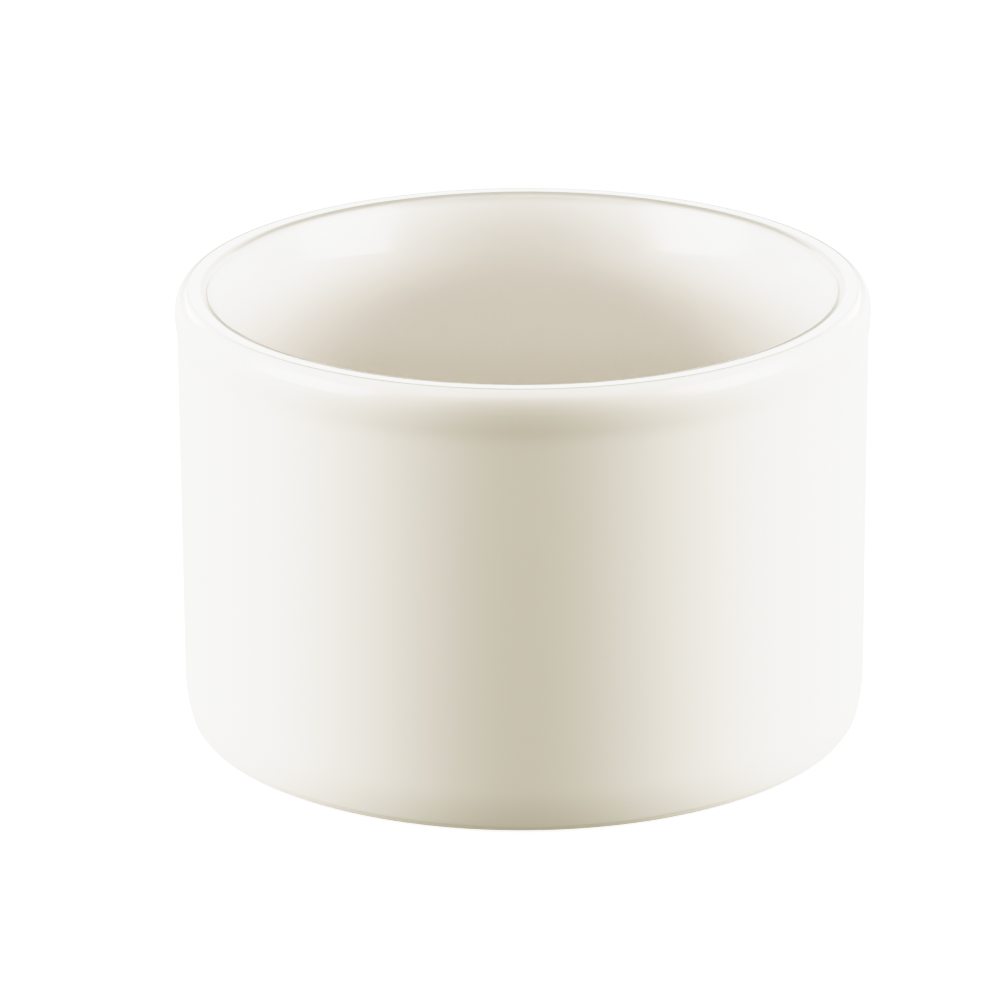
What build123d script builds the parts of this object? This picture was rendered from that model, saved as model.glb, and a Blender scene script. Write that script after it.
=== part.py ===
from build123d import *
from math import asin, cos, degrees, radians, sin, sqrt, tan
import os

# Straight-sided ramekin of fired clay under a poured glaze, standing on a bare foot ring.
# The origin is the middle of the foot plane, +Z points up, and lengths are in millimetres.
# Every section below is half of a turned shape: its x is the radius and its y is the height.

# Whole ramekin, measured over the glaze
rim_diameter = 80.0
height = 52.0

# Rim, from the bead outside to the lip inside
bead_proud = 0.25  # how far the bead stands out from the plain wall
bead_tail = 3.8  # height in which the bead runs out into the wall
shoulder_width = 1.7
shoulder_height = 2.7
crest_width = 1.35  # flat top of the rim
lip_radius = 1.0

# Cup inside, measured over the glaze
mouth_lean = 23.0  # degrees that the cup's mouth leans out just below the lip
mouth_bend_radius = 32.0  # bend that brings the mouth down into the cup's wall
cup_lean = 0.5  # degrees of draft on the cup's wall
cup_corner_radius = 8.0
floor_thickness = 4.0  # clay between the cup and the recess

# Heel and foot ring
tuck_height = 5.3  # where the wall starts to curve in towards the foot
tuck_depth = 0.85
heel_round = 0.5
foot_width = 4.4  # from the heel's corner to the recess
foot_inner_round = 0.4

# Recess under the floor
recess_depth = 1.8
recess_flare = 0.4  # how much wider the recess is at the foot plane than at its roof
recess_corner_radius = 0.8

# Glaze
glaze_thickness = 0.25
glaze_margin = 0.1  # bare clay left above the heel's round
recess_margin = 0.15  # bare clay left above the recess's inner round
glaze_edge_share = 0.8  # round at the end of the glaze, as a share of its thickness

# Sizes that follow
rim_radius = rim_diameter / 2
wall_radius = rim_radius - bead_proud
bead_height = height - shoulder_height
wall_top = bead_height - bead_tail
crest_radius = rim_radius - shoulder_width
lip_centre_radius = crest_radius - crest_width
lip_centre_height = height - lip_radius
bend_centre_radius = lip_centre_radius + (mouth_bend_radius - lip_radius) * cos(radians(mouth_lean))
bend_centre_height = lip_centre_height - (mouth_bend_radius - lip_radius) * sin(radians(mouth_lean))
tuck_arc_radius = (tuck_height**2 + tuck_depth**2) / (2 * tuck_depth)
tuck_centre_radius = wall_radius - tuck_arc_radius
clay_tuck_radius = tuck_arc_radius - glaze_thickness
heel_radius = tuck_centre_radius + sqrt(clay_tuck_radius**2 - tuck_height**2)
recess_radius = heel_radius - foot_width
clay_floor_height = recess_depth + floor_thickness
glaze_line = heel_round + glaze_margin
recess_glaze_line = foot_inner_round + recess_margin
glaze_edge_round = glaze_edge_share * glaze_thickness


def corner(face, radius, level):
    """Vertex of a section nearest to a place."""
    return face.vertices().sort_by_distance((radius, level))[0]


def turned(face):
    """Solid made by turning a half section about the ramekin's axis."""
    return revolve(Plane.XZ * face, Axis.Z)


def cup_section(skin):
    """Section of the cup, filled down to the foot plane and drawn a skin inside the glazed surface."""
    top = height - skin
    bead = rim_radius - skin
    wall = wall_radius - skin
    tuck_arc = tuck_arc_radius - skin
    tuck_angle = degrees(asin(tuck_height / tuck_arc))
    cup_floor = clay_floor_height + glaze_thickness - skin

    tuck = CenterArc((tuck_centre_radius, tuck_height), tuck_arc, -tuck_angle, tuck_angle)
    side = Line((wall, tuck_height), (wall, wall_top))
    tail_handle = bead_tail / 3
    tail = Bezier(
        (wall, wall_top),
        (wall, wall_top + tail_handle),
        (bead, bead_height - tail_handle),
        (bead, bead_height),
    )
    shoulder = EllipticalCenterArc(
        (crest_radius, bead_height), shoulder_width - skin, shoulder_height - skin, arc_size=90
    )
    crest = Line((crest_radius, top), (lip_centre_radius, top))
    lip_centre = (lip_centre_radius, lip_centre_height)
    lip = CenterArc(lip_centre, lip_radius - skin, 90, 90 - mouth_lean)
    bend_centre = (bend_centre_radius, bend_centre_height)
    bend = CenterArc(bend_centre, mouth_bend_radius - skin, 180 - mouth_lean, mouth_lean - cup_lean)
    bend_foot = bend @ 1
    cup_floor_radius = bend_foot.X - (bend_foot.Y - cup_floor) * tan(radians(cup_lean))
    cup_wall = Line(bend_foot, (cup_floor_radius, cup_floor))
    floor = Line((cup_floor_radius, cup_floor), (0, cup_floor))
    axis = Line((0, cup_floor), (0, 0))
    foot = Line((0, 0), tuck @ 0)
    face = make_face([foot, tuck, side, tail, shoulder, crest, lip, bend, cup_wall, floor, axis])
    return fillet(corner(face, cup_floor_radius, cup_floor), cup_corner_radius + skin)


def recess_section(skin):
    """Section of the space under the floor, drawn a skin inside the clay."""
    mouth = recess_radius - skin
    roof = recess_depth - skin
    roof_radius = mouth - recess_flare
    face = make_face(Polyline((0, 0), (mouth, 0), (roof_radius, roof), (0, roof), close=True))
    return fillet(corner(face, roof_radius, roof), recess_corner_radius - skin)


def clay_section():
    """Section of the fired clay, with its foot ring rounded inside and out."""
    face = cup_section(glaze_thickness) - recess_section(0)
    face = fillet(corner(face, heel_radius, 0), heel_round)
    return fillet(corner(face, recess_radius, 0), foot_inner_round)


def trimmed_glaze(layer, line):
    """Section of a glaze layer that ends in a rounded edge above a line."""
    reach = rim_diameter
    below = Pos(0, line - reach) * Rectangle(reach, reach, align=(Align.MIN, Align.MIN))
    return layer - below


def glaze_coat_section():
    """Section of the glaze over the wall, the rim and the cup, down to the line above the heel."""
    layer = cup_section(0) - cup_section(glaze_thickness)
    face = trimmed_glaze(layer, glaze_line)
    rise = tuck_height - glaze_line
    outside = tuck_centre_radius + sqrt(tuck_arc_radius**2 - rise**2)
    return fillet(corner(face, outside, glaze_line), glaze_edge_round)


def recess_glaze_section():
    """Section of the glaze that was wiped off the foot ring but left inside the recess."""
    layer = recess_section(0) - recess_section(glaze_thickness)
    face = trimmed_glaze(layer, recess_glaze_line)
    flank = recess_radius - glaze_thickness - recess_flare * recess_glaze_line / recess_depth
    return fillet(corner(face, flank, recess_glaze_line), glaze_edge_round)


sections = {
    "clay_body": clay_section(),
    "glaze_coat": glaze_coat_section(),
    "recess_glaze": recess_glaze_section(),
}

os.makedirs("parts", exist_ok=True)
for name, section in sections.items():
    export_step(turned(section), f"parts/{name}.step")
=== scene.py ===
"""Dresses a straight-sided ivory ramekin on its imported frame, and sets up the studio around it."""

import logging
import math
from dataclasses import dataclass, replace
from enum import Enum
from typing import Any

import bmesh
import bpy
from mathutils import Matrix, Vector, noise


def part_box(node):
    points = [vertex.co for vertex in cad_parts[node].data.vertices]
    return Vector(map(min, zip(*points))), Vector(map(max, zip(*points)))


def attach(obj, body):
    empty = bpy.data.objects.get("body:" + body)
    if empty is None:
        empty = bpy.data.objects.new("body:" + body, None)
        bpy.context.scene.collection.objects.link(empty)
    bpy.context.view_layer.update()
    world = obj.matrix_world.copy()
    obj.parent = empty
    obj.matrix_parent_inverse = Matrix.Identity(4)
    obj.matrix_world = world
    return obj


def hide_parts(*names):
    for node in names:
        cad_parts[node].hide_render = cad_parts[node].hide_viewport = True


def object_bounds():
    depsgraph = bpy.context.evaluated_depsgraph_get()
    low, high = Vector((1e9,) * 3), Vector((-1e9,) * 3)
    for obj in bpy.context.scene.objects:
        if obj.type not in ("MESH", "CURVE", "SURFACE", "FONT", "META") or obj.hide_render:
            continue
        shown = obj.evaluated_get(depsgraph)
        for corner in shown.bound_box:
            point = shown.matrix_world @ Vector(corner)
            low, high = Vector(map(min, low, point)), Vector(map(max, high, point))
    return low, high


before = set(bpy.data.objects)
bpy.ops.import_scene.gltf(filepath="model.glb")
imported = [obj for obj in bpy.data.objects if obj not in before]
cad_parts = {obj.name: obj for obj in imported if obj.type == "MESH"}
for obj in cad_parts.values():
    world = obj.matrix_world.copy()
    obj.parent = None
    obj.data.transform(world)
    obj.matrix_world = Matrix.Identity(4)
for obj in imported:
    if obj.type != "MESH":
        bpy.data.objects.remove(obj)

LOG = logging.getLogger("ramekin")
CAD_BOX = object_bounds()
RIM_RADIUS = CAD_BOX[1].x
HEIGHT = CAD_BOX[1].z
MM = 0.001
MERGE = 0.002 * MM
ALL_CHANNELS = 3

Colour = tuple[float, float, float, float]
# The values at which a mask starts and is whole
Fade = tuple[float, float]


@dataclass(frozen=True)
class Grain:
    """Soft noise in a finish.

    Attributes:
        scale: how many blots lie in a metre.
        detail: how many finer layers are added.
        rough: how strong the finer layers are.
    """

    scale: float
    detail: float
    rough: float


class Sock:
    """A shader socket that takes part in Python sums, adding its Math nodes as it goes."""

    def __init__(self, bench: "Bench", socket: bpy.types.NodeSocket) -> None:
        """Wraps one output socket.

        Args:
            bench: the tree's bench, which makes the nodes.
            socket: the output socket that is wrapped.
        """
        self.bench = bench
        self.socket = socket

    def math(self, operation: str, *values: Any) -> "Sock":
        """Adds a Math node.

        Args:
            operation: the node's operation.
            values: a number or a Sock for each of its sockets.

        Returns:
            The node's output.
        """
        return self.bench.node("ShaderNodeMath", {"operation": operation}, dict(enumerate(values)))

    def __add__(self, other: Any) -> "Sock":
        """Sum."""
        return self.math("ADD", self, other)

    def __radd__(self, other: Any) -> "Sock":
        """Sum with a plain number first."""
        return self.math("ADD", other, self)

    def __mul__(self, other: Any) -> "Sock":
        """Product."""
        return self.math("MULTIPLY", self, other)

    def __rmul__(self, other: Any) -> "Sock":
        """Product with a plain number first."""
        return self.math("MULTIPLY", other, self)


class Bench:
    """The node tree of a material, a light or the room, and the one place where nodes are made."""

    def __init__(self, owner: Any) -> None:
        """Starts an empty tree.

        Args:
            owner: the material, light or world that the tree belongs to.
        """
        self.owner = owner
        owner.use_nodes = True
        self.tree = owner.node_tree
        self.tree.nodes.clear()

    def node(self, kind: str, settings: dict[str, Any], inputs: dict[Any, Any], out: Any = 0) -> Any:
        """Makes a node.

        Args:
            kind: the node's type, as Blender names it.
            settings: attributes of the node, set before its sockets.
            inputs: a value or a Sock for each input, by name or place.
            out: name or place of the output that is wanted, or None.

        Returns:
            The wanted output as a Sock, or None where none is wanted.
        """
        made = self.tree.nodes.new(kind)
        for key, value in settings.items():
            setattr(made, key, value)
        for key, value in inputs.items():
            if isinstance(value, Sock):
                self.tree.links.new(value.socket, made.inputs[key])
            else:
                made.inputs[key].default_value = value
        return None if out is None else Sock(self, made.outputs[out])

    def place(self) -> Sock:
        """Object coordinates, in metres from the middle of the foot plane."""
        return self.node("ShaderNodeTexCoord", {}, {}, "Object")

    def height(self) -> Sock:
        """Height over the foot plane, in metres."""
        return self.node("ShaderNodeSeparateXYZ", {}, {0: self.place()}, "Z")

    def radius(self) -> Sock:
        """Distance from the ramekin's axis, in metres."""
        flat = self.node("ShaderNodeVectorMath", {"operation": "MULTIPLY"}, {
            0: self.place(), 1: (1.0, 1.0, 0.0),
        })
        return self.node("ShaderNodeVectorMath", {"operation": "LENGTH"}, {0: flat}, "Value")

    def noise(self, grain: Grain) -> Sock:
        """Adds soft noise.

        Args:
            grain: how fine and how strong the noise is.

        Returns:
            The noise, about 0.5 on average.
        """
        return self.node("ShaderNodeTexNoise", {}, {
            "Vector": self.place(), "Scale": grain.scale, "Detail": grain.detail, "Roughness": grain.rough,
        })

    def relief(self, grain: Grain, depth: float) -> Sock:
        """Adds a relief of soft noise.

        Args:
            grain: how fine and how strong the noise is.
            depth: how deep the relief is, in metres.

        Returns:
            The normal that a shader takes.
        """
        return self.node("ShaderNodeBump", {}, {
            "Strength": 1.0, "Distance": depth, "Height": self.noise(grain),
        })

    def ramp(self, value: Sock, start: float, full: float) -> Sock:
        """Turns a value into a mask with a smooth step.

        Args:
            value: what is looked at.
            start: value at which the mask is 0.
            full: value at which the mask is 1.

        Returns:
            The mask.
        """
        settings = {"interpolation_type": "SMOOTHSTEP"}
        return self.node("ShaderNodeMapRange", settings, {
            "Value": value, "From Min": start, "From Max": full,
        })

    def mix(self, mask: Sock, plain: Any, marked: Any) -> Sock:
        """Mixes two colours.

        Args:
            mask: share of the second colour.
            plain: colour where the mask is 0.
            marked: colour where the mask is 1.

        Returns:
            The mixed colour.
        """
        return self.node("ShaderNodeMix", {"data_type": "RGBA"}, {0: mask, 6: plain, 7: marked}, 2)

    def finish(self, shader: Sock, kind: str = "ShaderNodeOutputMaterial") -> Any:
        """Connects a shader to the tree's output.

        Args:
            shader: the shader's output.
            kind: the output node's type.

        Returns:
            The tree's owner.
        """
        self.node(kind, {}, {"Surface": shader}, None)
        return self.owner


@dataclass(frozen=True)
class Ring:
    """Ring round the rim that a colour fades into and out of, in metres in from the rim's outside.

    Attributes:
        outer: where the ring starts.
        outer_full: where it reaches its full strength.
        inner_full: where it starts to fade again.
        inner: where it ends.
    """

    outer: float
    outer_full: float
    inner_full: float
    inner: float

    def mask(self, bench: Bench, radius: Sock) -> Sock:
        """Adds the ring's mask.

        Args:
            bench: the material's bench.
            radius: distance from the ramekin's axis.

        Returns:
            The mask, which is 0 outside the ring.
        """
        outwards = bench.ramp(radius, RIM_RADIUS - self.inner, RIM_RADIUS - self.inner_full)
        inwards = bench.ramp(radius, RIM_RADIUS - self.outer, RIM_RADIUS - self.outer_full)
        return outwards * inwards


@dataclass(frozen=True)
class IvoryGlaze:
    """Glossy ivory glaze, poured and fired to a smooth coat.

    It is thicker in the cup and darker towards the cup's floor, where it pools and painted shade is added.
    Over the rim's crest it is thinner and darker with painted shade, and it has two fine dark lines of
    painted shade, partly where the glaze breaks, one on the lip and one where the shoulder meets the
    crest.

    Attributes:
        name: the material's name.
        body: colour of the coat.
        clouded: colour that it is faintly clouded with.
        thick: colour high up in the cup.
        pooled_and_shaded: colour deep in the cup, where the glaze pools and painted shade darkens it.
        thin_and_shaded: colour on the crest, where the glaze is thinner and painted shade darkens the
            up-facing crest.
        break_and_shade: colour of the two fine lines, painted shade partly where the glaze breaks over the
            edges.
        gloss: roughness of the coat.
        dulling: how much rougher the two fine lines are.
        index: index of refraction.
        clouds: the clouding.
        peel: the faint unevenness of the surface.
        peel_height: height of that unevenness.
        cup_mouth: distances from the axis between which the cup's glaze starts.
        cup_foot: heights between which it starts.
        cup_depth: heights between which the cup darkens towards its deepest colour.
        rim_level: heights between which the rim's glaze starts.
        crest: ring where the glaze is thinner and painted shade darkens the crest.
        lip: ring of the fine painted-shade line on the lip.
        shoulder: ring of the fine painted-shade line on the shoulder.
        shoulder_line_share: strength of the shoulder's line beside the lip's.
    """

    name: str = "ivory_glaze"
    body: Colour = (0.875, 0.83, 0.735, 1.0)
    clouded: Colour = (0.86, 0.815, 0.715, 1.0)
    thick: Colour = (0.872, 0.838, 0.757, 1.0)
    pooled_and_shaded: Colour = (0.79, 0.748, 0.645, 1.0)
    thin_and_shaded: Colour = (0.81, 0.775, 0.685, 1.0)
    break_and_shade: Colour = (0.5, 0.475, 0.39, 1.0)
    gloss: float = 0.05
    dulling: float = 0.1
    index: float = 1.52
    clouds: Grain = Grain(55.0, 3.0, 0.55)
    peel: Grain = Grain(420.0, 2.0, 0.5)
    peel_height: float = 0.004 * MM
    cup_mouth: Fade = (RIM_RADIUS - 3.4 * MM, RIM_RADIUS - 4.2 * MM)
    cup_foot: Fade = (3.0 * MM, 4.0 * MM)
    cup_depth: Fade = (HEIGHT - 15.0 * MM, HEIGHT - 26.0 * MM)
    rim_level: Fade = (HEIGHT - 1.4 * MM, HEIGHT - 1.0 * MM)
    crest: Ring = Ring(1.2 * MM, 1.5 * MM, 3.6 * MM, 3.9 * MM)
    lip: Ring = Ring(2.9 * MM, 3.1 * MM, 3.4 * MM, 4.3 * MM)
    shoulder: Ring = Ring(1.34 * MM, 1.48 * MM, 1.6 * MM, 1.72 * MM)
    shoulder_line_share: float = 0.75

    def material(self) -> bpy.types.Material:
        """Makes the glaze's material.

        Returns:
            The material.
        """
        bench = Bench(bpy.data.materials.new(self.name))
        radius = bench.radius()
        height = bench.height()
        colour = bench.mix(bench.noise(self.clouds), self.body, self.clouded)
        cup = bench.ramp(radius, *self.cup_mouth) * bench.ramp(height, *self.cup_foot)
        # Deeper in the cup the colour darkens: the glaze pools there, and painted shade is added.
        inside = bench.mix(bench.ramp(height, *self.cup_depth), self.thick, self.pooled_and_shaded)
        colour = bench.mix(cup, colour, inside)
        rim = bench.ramp(height, *self.rim_level)
        # The crest is darker: the glaze is thinner there, and painted shade darkens the up-facing crest.
        colour = bench.mix(rim * self.crest.mask(bench, radius), colour, self.thin_and_shaded)
        # Two fine dark lines of painted shade on the lip and the shoulder, partly where the glaze breaks;
        # they are also rougher.
        lines = self.lip.mask(bench, radius) + self.shoulder.mask(bench, radius) * self.shoulder_line_share
        break_and_shade_mask = rim * lines
        colour = bench.mix(break_and_shade_mask, colour, self.break_and_shade)
        shader = bench.node("ShaderNodeBsdfPrincipled", {}, {
            "Base Color": colour, "Roughness": break_and_shade_mask * self.dulling + self.gloss, "IOR": self.index,
            "Normal": bench.relief(self.peel, self.peel_height),
        })
        return bench.finish(shader)


@dataclass(frozen=True)
class BareClay:
    """Fired clay without glaze, wiped with a wet sponge before the firing.

    Attributes:
        name: the material's name.
        body: colour of the clay.
        stain: colour where the sponge left a trace of glaze.
        roughness: roughness of the clay.
        wiping: the sponge's marks.
        grain: the clay's grain.
        grain_height: height of the grain.
    """

    name: str = "fired_clay"
    body: Colour = (0.87, 0.83, 0.735, 1.0)
    stain: Colour = (0.82, 0.775, 0.67, 1.0)
    roughness: float = 0.72
    wiping: Grain = Grain(160.0, 4.0, 0.6)
    grain: Grain = Grain(2600.0, 4.0, 0.7)
    grain_height: float = 0.03 * MM

    def material(self) -> bpy.types.Material:
        """Makes the clay's material.

        Returns:
            The material.
        """
        bench = Bench(bpy.data.materials.new(self.name))
        shader = bench.node("ShaderNodeBsdfPrincipled", {}, {
            "Base Color": bench.mix(bench.noise(self.wiping), self.body, self.stain),
            "Roughness": self.roughness, "Normal": bench.relief(self.grain, self.grain_height),
        })
        return bench.finish(shader)


class Slot(Enum):
    """Names of the two finishes, as the materials are named; nothing in the script uses it."""

    CLAY = "fired_clay"
    GLAZE = "ivory_glaze"


class Outline:
    """Half section of a turned shape, drawn point by point with mesh operators."""

    TURN = Vector((0.0, -1.0, 0.0))
    STILL = Vector((0.0, 0.0, 0.0))

    def __init__(self, radius: float, height: float) -> None:
        """Starts the outline.

        Args:
            radius: distance from the axis, in metres.
            height: height over the foot plane, in metres.
        """
        self.mesh = bmesh.new()
        self.tip = bmesh.ops.create_vert(self.mesh, co=(radius, 0.0, height))["vert"][0]

    def line(self, radius: float, height: float, steps: int = 1) -> None:
        """Draws straight to a point.

        Args:
            radius: where the line ends, from the axis.
            height: where the line ends, over the foot plane.
            steps: how many edges the line has.
        """
        way = (Vector((radius, 0.0, height)) - self.tip.co) / steps
        for _ in range(steps):
            grown = bmesh.ops.extrude_vert_indiv(self.mesh, verts=[self.tip])
            self.tip = grown["verts"][0]
            bmesh.ops.translate(self.mesh, verts=[self.tip], vec=way)

    def arc(self, radius: float, height: float, degrees: float, steps: int, squeeze: float = 1.0) -> None:
        """Draws an arc about a centre, or part of an ellipse that starts level with its centre.

        Args:
            radius: the centre's distance from the axis.
            height: the centre's height.
            degrees: the angle, positive from the outside towards the top.
            steps: how many edges the arc has.
            squeeze: the ellipse's height over its width.
        """
        centre = Vector((radius, 0.0, height))
        before = set(self.mesh.verts)
        spun = bmesh.ops.spin(
            self.mesh, geom=[self.tip], cent=centre, axis=self.TURN, dvec=self.STILL,
            angle=math.radians(degrees), steps=steps, use_merge=False,
            use_normal_flip=False, use_duplicate=False,
        )
        drawn = [vert for vert in self.mesh.verts if vert not in before]
        bmesh.ops.scale(
            self.mesh, vec=(1.0, 1.0, squeeze), space=Matrix.Translation(-centre), verts=drawn
        )
        self.tip = next(g for g in spun["geom_last"] if isinstance(g, bmesh.types.BMVert))

    def turned(self, steps: int) -> bmesh.types.BMesh:
        """Spins the outline about the axis.

        Args:
            steps: how many faces go round.

        Returns:
            The turned mesh, with its faces pointing outwards.
        """
        bmesh.ops.spin(
            self.mesh, geom=[*self.mesh.verts, *self.mesh.edges], cent=self.STILL,
            axis=(0.0, 0.0, 1.0), dvec=self.STILL, angle=math.tau, steps=steps,
            use_merge=True, use_normal_flip=False, use_duplicate=False,
        )
        bmesh.ops.remove_doubles(self.mesh, verts=self.mesh.verts, dist=MERGE)
        bmesh.ops.recalc_face_normals(self.mesh, faces=self.mesh.faces)
        return self.mesh


def piece(mesh: bmesh.types.BMesh, name: str, finish: Any, node: str) -> bpy.types.Object:
    """Makes an object of a mesh, attaches it to the root body and hides the CAD node that it replaces.

    Args:
        mesh: the finished mesh, which is freed.
        name: the object's name.
        finish: the finish that it is dressed in.
        node: the CAD node that it replaces.

    Returns:
        The object.
    """
    for face in mesh.faces:
        face.smooth = True
    data = bpy.data.meshes.new(name)
    mesh.to_mesh(data)
    mesh.free()
    data.materials.append(finish.material())
    made = bpy.data.objects.new(name, data)
    bpy.context.scene.collection.objects.link(made)
    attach(made, "root")
    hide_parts(node)
    return made


@dataclass
class Turning:
    """Sizes of the ramekin that its pieces share, in metres and degrees, and the outlines they draw.

    Attributes:
        skin: thickness of the glaze.
        shell_share: thickness of a glaze piece, as a share of the glaze's.
        bead_proud: how far the rim's bead stands out from the plain wall.
        bead_tail: height in which the bead runs out into the wall.
        shoulder_width: width of the shoulder's ellipse.
        shoulder_height: height of the shoulder's ellipse.
        crown_radius: radius of the crest's low crown.
        crown_outside: angle that the crown turns through towards the shoulder.
        crown_inside: angle that it turns through towards the lip.
        lip_radius: radius of the lip.
        mouth_lean: angle that the cup's mouth leans out just below the lip.
        mouth_bend: radius of the bend that brings the mouth down into the cup's wall.
        cup_lean: draft of the cup's wall.
        cup_corner: radius of the round between the cup's wall and its floor.
        floor_thickness: clay between the cup and the recess.
        tuck_height: height at which the wall starts to curve in towards the foot.
        tuck_depth: how far it curves in.
        heel_round: radius of the heel's edge.
        foot_width: width of the foot ring, from the heel's corner to the recess.
        foot_inner_round: radius of the foot ring's inner edge.
        recess_depth: depth of the recess under the floor.
        recess_flare: how much wider the recess is at the foot plane than at its roof.
        recess_corner: radius of the round between the recess's side and its roof.
        steps_round: how many faces go round.
    """

    skin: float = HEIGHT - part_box("clay_body")[1].z
    shell_share: float = 0.95
    bead_proud: float = 0.25 * MM
    bead_tail: float = 3.8 * MM
    shoulder_width: float = 1.7 * MM
    shoulder_height: float = 2.7 * MM
    crown_radius: float = 5.0 * MM
    crown_outside: float = 8.0
    crown_inside: float = 15.5
    lip_radius: float = 0.6 * MM
    mouth_lean: float = 23.0
    mouth_bend: float = 29.0 * MM
    cup_lean: float = 0.5
    cup_corner: float = 8.0 * MM
    floor_thickness: float = 4.0 * MM
    tuck_height: float = 5.3 * MM
    tuck_depth: float = 0.85 * MM
    heel_round: float = 0.5 * MM
    foot_width: float = 4.4 * MM
    foot_inner_round: float = 0.4 * MM
    recess_depth: float = 1.8 * MM
    recess_flare: float = 0.4 * MM
    recess_corner: float = 0.8 * MM
    steps_round: int = 256

    @property
    def wall(self) -> float:
        """Radius of the plain wall over the glaze."""
        return RIM_RADIUS - self.bead_proud

    @property
    def shell(self) -> float:
        """Thickness of a glaze piece, a hair less than the glaze so that its edge stays a round."""
        return self.shell_share * self.skin

    @property
    def tuck_arc(self) -> float:
        """Radius of the arc that brings the wall in towards the foot."""
        return (self.tuck_height**2 + self.tuck_depth**2) / (2 * self.tuck_depth)

    @property
    def bead_height(self) -> float:
        """Height at which the rim is widest."""
        return HEIGHT - self.shoulder_height

    @property
    def recess_radius(self) -> float:
        """Radius of the recess at the foot plane."""
        arc = self.tuck_arc - self.skin
        return self.wall - self.tuck_arc + math.sqrt(arc**2 - self.tuck_height**2) - self.foot_width

    @property
    def recess_lean(self) -> float:
        """Angle that the recess's side leans out, in radians."""
        return math.atan(self.recess_flare / self.recess_depth)

    @property
    def cup_floor(self) -> float:
        """Height of the glazed floor of the cup."""
        return self.recess_depth + self.floor_thickness + self.skin

    def draw_over(self, outline: Outline, level: float, edge: float, inset: float) -> None:
        """Draws an outline up the outside, over the rim and down the cup to the axis.

        Args:
            outline: the outline, with its tip at the level of the edge that it stands on.
            level: height of the edge.
            edge: radius of the edge's round.
            inset: how far inside the glazed surface it runs.
        """
        self.draw_heel(outline, level, edge, inset)
        self.draw_side(outline, inset)
        self.draw_rim(outline, inset)
        self.draw_cup(outline, inset)

    def draw_heel(self, outline: Outline, level: float, edge: float, inset: float) -> None:
        """Draws an outline round the edge that it stands on and up the tuck.

        Args:
            outline: the outline, with its tip at the level of the edge.
            level: height of the edge.
            edge: radius of the edge's round.
            inset: how far inside the glazed surface it runs.
        """
        middle = self.wall - self.tuck_arc
        drop = self.tuck_height - level - edge
        across = math.sqrt((self.tuck_arc - inset - edge)**2 - drop**2)
        dip = math.degrees(math.atan2(drop, across))
        outline.line(middle + across, level)
        outline.arc(middle + across, level + edge, 90.0 - dip, steps=6)
        outline.arc(middle, self.tuck_height, dip, steps=12)

    def draw_side(self, outline: Outline, inset: float) -> None:
        """Draws an outline up the plain wall and out to the bead, in two arcs that meet halfway.

        Args:
            outline: the outline, with its tip at the top of the tuck.
            inset: how far inside the glazed surface it runs.
        """
        tail_foot = self.bead_height - self.bead_tail
        turn = 2 * math.atan(self.bead_proud / self.bead_tail)
        swell = self.bead_tail / (2 * math.sin(turn))
        outline.line(self.wall - inset, tail_foot, steps=14)
        outline.arc(self.wall - inset + swell, tail_foot, -math.degrees(turn), steps=7)
        outline.arc(RIM_RADIUS - inset - swell, self.bead_height, math.degrees(turn), steps=7)

    def draw_rim(self, outline: Outline, inset: float) -> None:
        """Draws an outline over the shoulder's ellipse, the low crown of the crest and the lip.

        Args:
            outline: the outline, with its tip where the rim is widest.
            inset: how far inside the glazed surface it runs.
        """
        tilt = math.radians(self.crown_outside)
        rise = self.shoulder_height - self.crown_radius * (1 - math.cos(tilt))
        squeeze = (rise - inset) / (self.shoulder_width - inset)
        spread = math.degrees(math.atan2(squeeze * math.cos(tilt), math.sin(tilt)))
        outline.arc(RIM_RADIUS - self.shoulder_width, self.bead_height, spread, steps=22, squeeze=squeeze)
        crown = self.crown_radius - inset
        radius = outline.tip.co.x - crown * math.sin(tilt)
        height = outline.tip.co.z - crown * math.cos(tilt)
        outline.arc(radius, height, self.crown_outside + self.crown_inside, steps=12)
        tilt = math.radians(self.crown_inside)
        lip = self.lip_radius - inset
        radius = outline.tip.co.x + lip * math.sin(tilt)
        height = outline.tip.co.z - lip * math.cos(tilt)
        outline.arc(radius, height, 90.0 - self.crown_inside - self.mouth_lean, steps=12)

    def draw_cup(self, outline: Outline, inset: float) -> None:
        """Draws an outline round the mouth's bend and down the cup to the axis.

        Args:
            outline: the outline, with its tip at the end of the lip.
            inset: how far inside the glazed surface it runs.
        """
        lean = math.radians(self.mouth_lean)
        bend = self.mouth_bend - inset
        radius = outline.tip.co.x + bend * math.cos(lean)
        height = outline.tip.co.z - bend * math.sin(lean)
        outline.arc(radius, height, self.mouth_lean - self.cup_lean, steps=24)
        draft = math.radians(self.cup_lean)
        corner = self.cup_corner + inset
        corner_height = self.cup_floor + self.cup_corner
        fall = outline.tip.co.z - corner_height + corner * math.sin(draft)
        outline.line(outline.tip.co.x - fall * math.tan(draft), outline.tip.co.z - fall, steps=11)
        radius = outline.tip.co.x - corner * math.cos(draft)
        outline.arc(radius, corner_height, self.cup_lean - 90.0, steps=18)
        outline.line(0.0, self.cup_floor - inset, steps=12)

    def draw_recess(self, outline: Outline, inset: float) -> None:
        """Draws an outline from the axis along the recess's roof and round its corner.

        Args:
            outline: the outline, with its tip on the axis.
            inset: how far inside the clay's surface it runs.
        """
        roof = self.recess_depth - inset
        corner = self.recess_corner - inset
        back = corner * math.tan((math.pi / 2 - self.recess_lean) / 2)
        middle = self.recess_radius - self.recess_flare - inset - back
        outline.line(middle, roof, steps=12)
        outline.arc(middle, roof - corner, math.degrees(self.recess_lean) - 90.0, steps=8)


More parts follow.
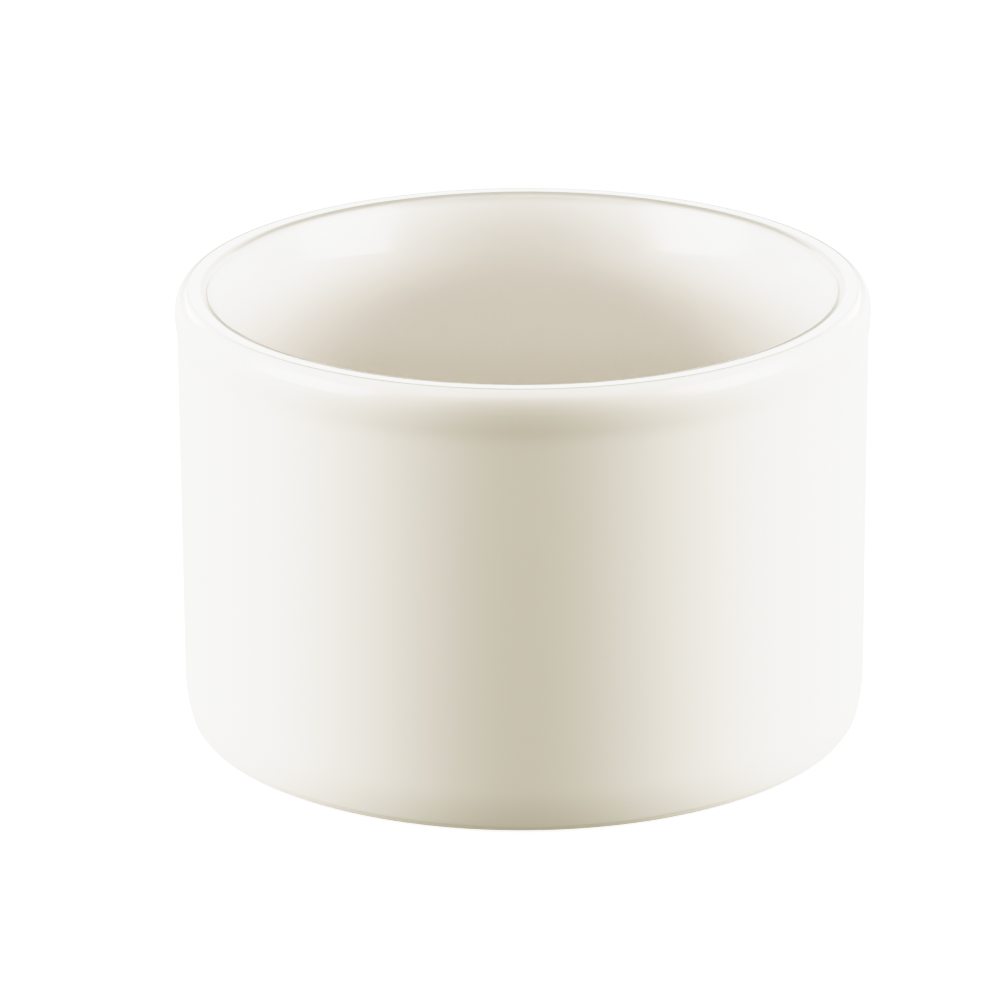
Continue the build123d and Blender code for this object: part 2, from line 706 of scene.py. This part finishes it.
@dataclass
class ClayBody(Turning):
    """The fired clay, bare on the foot ring."""

    def build(self) -> bpy.types.Object:
        """Turns the clay and dresses it.

        Returns:
            The piece.
        """
        lean = self.recess_lean
        edge = self.foot_inner_round
        outline = Outline(0.0, self.recess_depth)
        self.draw_recess(outline, 0.0)
        middle = self.recess_radius + edge * math.tan((math.pi / 2 - lean) / 2)
        outline.line(middle - edge * math.cos(lean), edge - edge * math.sin(lean), steps=2)
        outline.arc(middle, edge, 90.0 - math.degrees(lean), steps=8)
        self.draw_over(outline, 0.0, self.heel_round, self.skin)
        mesh = outline.turned(self.steps_round)
        return piece(mesh, "fired_clay", BareClay(), "clay_body")


@dataclass
class GlazeCoat(Turning):
    """The glaze over the wall, the rim and the cup, down to a wiped line above the heel.

    Attributes:
        line: height of the wiped line.
        sway: how far the melted surface sinks at most.
        sway_length: how far apart its hollows lie.
        wipe: how far the wiped edge wanders up at most.
        wipe_length: how far apart its waves lie.
        wipe_reach: height above the line in which the wandering fades out.
    """

    line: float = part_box("glaze_coat")[0].z
    sway: float = 0.03 * MM
    sway_length: float = 14.0 * MM
    wipe: float = 0.12 * MM
    wipe_length: float = 5.0 * MM
    wipe_reach: float = 1.0 * MM

    def build(self) -> bpy.types.Object:
        """Turns the coat, lets it sway as melted glaze does, and dresses it.

        Returns:
            The piece.
        """
        rise = self.tuck_height - self.line - self.skin
        across = math.sqrt((self.tuck_arc - self.skin)**2 - rise**2)
        outline = Outline(self.wall - self.tuck_arc + across, self.line)
        self.draw_over(outline, self.line, self.skin, 0.0)
        mesh = outline.turned(self.steps_round)
        mesh.normal_update()
        for vert in mesh.verts:
            vert.co += vert.normal * self.sway_at(vert.co)
            vert.co.z += self.wipe_at(vert.co)
        bmesh.ops.solidify(mesh, geom=mesh.faces, thickness=self.shell)
        return piece(mesh, "glaze_over_cup", IvoryGlaze(), "glaze_coat")

    def sway_at(self, place: Vector) -> float:
        """How far the melted surface has sunk at a place, never proud of the turned shape."""
        return self.sway * (noise.noise(place / self.sway_length) - 1.0) / 2

    def wipe_at(self, place: Vector) -> float:
        """How far the wiped edge wanders up at a place near the heel."""
        near = max(0.0, 1.0 - (place.z - self.line) / self.wipe_reach)
        return near * self.wipe * (noise.noise(place / self.wipe_length) + 1.0) / 2


@dataclass
class RecessGlaze(Turning):
    """The glaze left inside the recess when the foot ring was wiped.

    Attributes:
        line: height of the wiped line.
    """

    line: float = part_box("recess_glaze")[0].z

    def build(self) -> bpy.types.Object:
        """Turns the recess's glaze and dresses it.

        Returns:
            The piece.
        """
        outline = Outline(0.0, self.recess_depth - self.skin)
        self.draw_recess(outline, self.skin)
        low = self.line + self.skin
        side = self.recess_radius - self.recess_flare * low / self.recess_depth
        outline.line(side - self.skin, low, steps=3)
        outline.arc(side, low, 90.0, steps=5)
        mesh = outline.turned(self.steps_round)
        bmesh.ops.solidify(mesh, geom=mesh.faces, thickness=self.shell)
        return piece(mesh, "glaze_in_recess", IvoryGlaze(), "recess_glaze")


class Gives(Enum):
    """What a softbox gives: light on the clay, or its picture in the glaze."""

    LIGHT = (True, False)
    SHEEN = (False, True)


@dataclass(frozen=True)
class Softbox:
    """A soft light that faces the ramekin.

    Attributes:
        name: the light's name.
        azimuth: degrees round from the camera's side, positive to the right.
        elevation: degrees up from the floor.
        distance: how far off it hangs, in metres.
        size: its width and height, in metres.
        power: its power, in watts.
        colour: its colour.
        feather: shares of its width and height over which its edges fade.
        gives: what it does to the ramekin.
        aim: height of the point that it faces, in metres.
    """

    name: str
    azimuth: float
    elevation: float
    distance: float
    size: tuple[float, float]
    power: float
    colour: tuple[float, float, float]
    feather: tuple[float, float]
    gives: Gives
    aim: float = 30.0 * MM

    def mirrored(self, name: str) -> "Softbox":
        """The same light on the ramekin's other side."""
        return replace(self, name=name, azimuth=-self.azimuth)

    def build(self) -> None:
        """Hangs the light."""
        data = bpy.data.lights.new(self.name, "AREA")
        data.shape = "RECTANGLE"
        data.size, data.size_y = self.size
        data.energy = self.power
        data.color = self.colour
        self.fade(Bench(data))
        made = bpy.data.objects.new(self.name, data)
        turn = math.radians(self.azimuth)
        up = math.radians(self.elevation)
        away = Vector((math.sin(turn) * math.cos(up), -math.cos(turn) * math.cos(up), math.sin(up)))
        made.location = Vector((0.0, 0.0, self.aim)) + away * self.distance
        made.rotation_euler = away.to_track_quat("Z", "Y").to_euler()
        made.visible_diffuse, made.visible_glossy = self.gives.value
        bpy.context.scene.collection.objects.link(made)

    def fade(self, bench: Bench) -> None:
        """Fades the light towards its edges.

        Args:
            bench: the light's bench.
        """
        spot = bench.node("ShaderNodeNewGeometry", {}, {}, "Parametric")
        glow = 1.0
        for axis, feather in zip("XY", self.feather):
            along = bench.node("ShaderNodeSeparateXYZ", {}, {0: spot}, axis)
            glow = bench.ramp(along, 0.0, feather) * bench.ramp(along, 1.0, 1.0 - feather) * glow
        bench.finish(bench.node("ShaderNodeEmission", {}, {"Strength": glow}), "ShaderNodeOutputLight")


SIDE = Softbox(
    "left", azimuth=-92.0, elevation=9.5, distance=0.8, size=(0.42, 0.42), power=11.9,
    colour=(1.0, 1.035, 1.25), feather=(0.3, 0.15), gives=Gives.LIGHT,
)
SIDE_SHEEN = Softbox(
    "left_sheen", azimuth=-74.0, elevation=20.0, distance=0.9, size=(0.95, 0.55), power=8.5,
    colour=(1.0, 1.0, 1.0), feather=(0.35, 0.04), gives=Gives.SHEEN,
)
OVERHEAD = Softbox(
    "overhead", azimuth=0.0, elevation=74.0, distance=0.8, size=(0.9, 0.4), power=5.5,
    colour=(1.0, 1.03, 1.25), feather=(0.15, 0.25), gives=Gives.LIGHT,
)
OVERHEAD_SHEEN = Softbox(
    "overhead_sheen", azimuth=0.0, elevation=58.0, distance=0.8, size=(0.9, 0.45), power=1.6,
    colour=(1.0, 1.03, 1.25), feather=(0.15, 0.25), gives=Gives.SHEEN,
)
BACKDROP_SHEEN = Softbox(
    "backdrop", azimuth=180.0, elevation=22.0, distance=1.4, size=(2.4, 0.45), power=8.0,
    colour=(1.0, 1.0, 1.05), feather=(0.1, 0.02), gives=Gives.SHEEN,
)
TABLE_SHEEN = Softbox(
    "table_sheen", azimuth=0.0, elevation=-90.0, distance=0.035, size=(3.0, 3.0), power=25.0,
    colour=(1.0, 1.0, 1.0), feather=(0.1, 0.1), gives=Gives.SHEEN,
)


@dataclass
class Studio:
    """Pale floor, soft light, the camera at the photograph's viewing angle and the view's tones.

    Attributes:
        boxes: the softboxes.
        elevation: degrees that the camera looks down.
        distance: from the camera to the ramekin's middle, in metres.
        lens: focal length, in millimetres.
        shift: shift of the lens that centres the ramekin as the photograph does.
        roll: degrees that the camera leans.
        floor_radius: radius of the floor, in metres.
        floor_sides: how many sides the floor has.
        floor_colour: colour of the floor.
        floor_glow: light that the floor gives to the camera alone.
        room_colour: light that fills the room.
        white: light that the last tone stands for.
        tones: pairs of a light and the tone that it gets.
    """

    boxes: tuple[Softbox, ...] = (
        SIDE, SIDE.mirrored("right"), SIDE_SHEEN, SIDE_SHEEN.mirrored("right_sheen"),
        OVERHEAD, OVERHEAD_SHEEN, BACKDROP_SHEEN, TABLE_SHEEN,
    )
    elevation: float = 19.53
    distance: float = 665.3 * MM
    lens: float = 205.9
    shift: tuple[float, float] = (-0.0236, -0.0042)
    roll: float = -0.23
    floor_radius: float = 4.0
    floor_sides: int = 96
    floor_colour: Colour = (0.9, 0.9, 0.9, 1.0)
    floor_glow: Colour = (1.0, 1.0, 1.0, 1.0)
    room_colour: Colour = (0.476, 0.457, 0.371, 1.0)
    white: float = 1.7
    tones: tuple[tuple[float, float], ...] = (
        (0.35, 0.35), (0.7, 0.7), (0.85, 0.815), (1.0, 0.885), (1.15, 0.912), (1.3, 0.93), (1.5, 0.952),
    )

    def build(self) -> None:
        """Sets up the studio."""
        self.camera()
        self.floor()
        for box in self.boxes:
            box.build()
        self.room()
        self.view()

    def camera(self) -> None:
        """Sets up the camera at the photograph's viewing angle."""
        data = bpy.data.cameras.new("camera")
        data.lens = self.lens
        data.shift_x, data.shift_y = self.shift
        made = bpy.data.objects.new("camera", data)
        up = math.radians(self.elevation)
        middle = Vector((0.0, 0.0, (CAD_BOX[0].z + CAD_BOX[1].z) / 2))
        made.location = middle + self.distance * Vector((0.0, -math.cos(up), math.sin(up)))
        tilt = Matrix.Rotation(math.pi / 2 - up, 3, "X") @ Matrix.Rotation(math.radians(self.roll), 3, "Z")
        made.rotation_euler = tilt.to_euler()
        bpy.context.scene.collection.objects.link(made)
        bpy.context.scene.camera = made

    def floor(self) -> None:
        """Lays the pale floor, which shows to the camera and lights nothing."""
        data = bpy.data.meshes.new("floor")
        mesh = bmesh.new()
        bmesh.ops.create_circle(mesh, cap_ends=True, segments=self.floor_sides, radius=self.floor_radius)
        mesh.to_mesh(data)
        mesh.free()
        made = bpy.data.objects.new("floor", data)
        bpy.context.scene.collection.objects.link(made)
        bench = Bench(bpy.data.materials.new("pale_floor"))
        shader = bench.node("ShaderNodeBsdfPrincipled", {}, {
            "Base Color": self.floor_colour, "Specular IOR Level": 0.0,
            "Emission Color": self.floor_glow, "Emission Strength": 1.0,
        })
        data.materials.append(bench.finish(shader))
        made.visible_diffuse = made.visible_glossy = False

    def room(self) -> None:
        """Fills the room with soft light."""
        bench = Bench(bpy.data.worlds.new("room"))
        shader = bench.node("ShaderNodeBackground", {}, {"Color": self.room_colour})
        bpy.context.scene.world = bench.finish(shader, "ShaderNodeOutputWorld")

    def view(self) -> None:
        """Rolls the view's tones off near white, as the photograph does."""
        view = bpy.context.scene.view_settings
        view.view_transform = "Standard"
        view.use_curve_mapping = True
        mapping = view.curve_mapping
        mapping.white_level = (self.white,) * 3
        mapping.extend = "HORIZONTAL"
        for light, tone in self.tones:
            mapping.curves[ALL_CHANNELS].points.new(light / self.white, tone)
        mapping.update()


def main() -> None:
    """Builds the pieces in order and reports each, then sets up the studio."""
    logging.basicConfig(level=logging.INFO, format="%(name)s: %(message)s")
    for part in (ClayBody(), GlazeCoat(), RecessGlaze()):
        made = part.build()
        LOG.info("%s: %d faces", made.name, len(made.data.polygons))
    Studio().build()


if __name__ == "__main__":
    main()
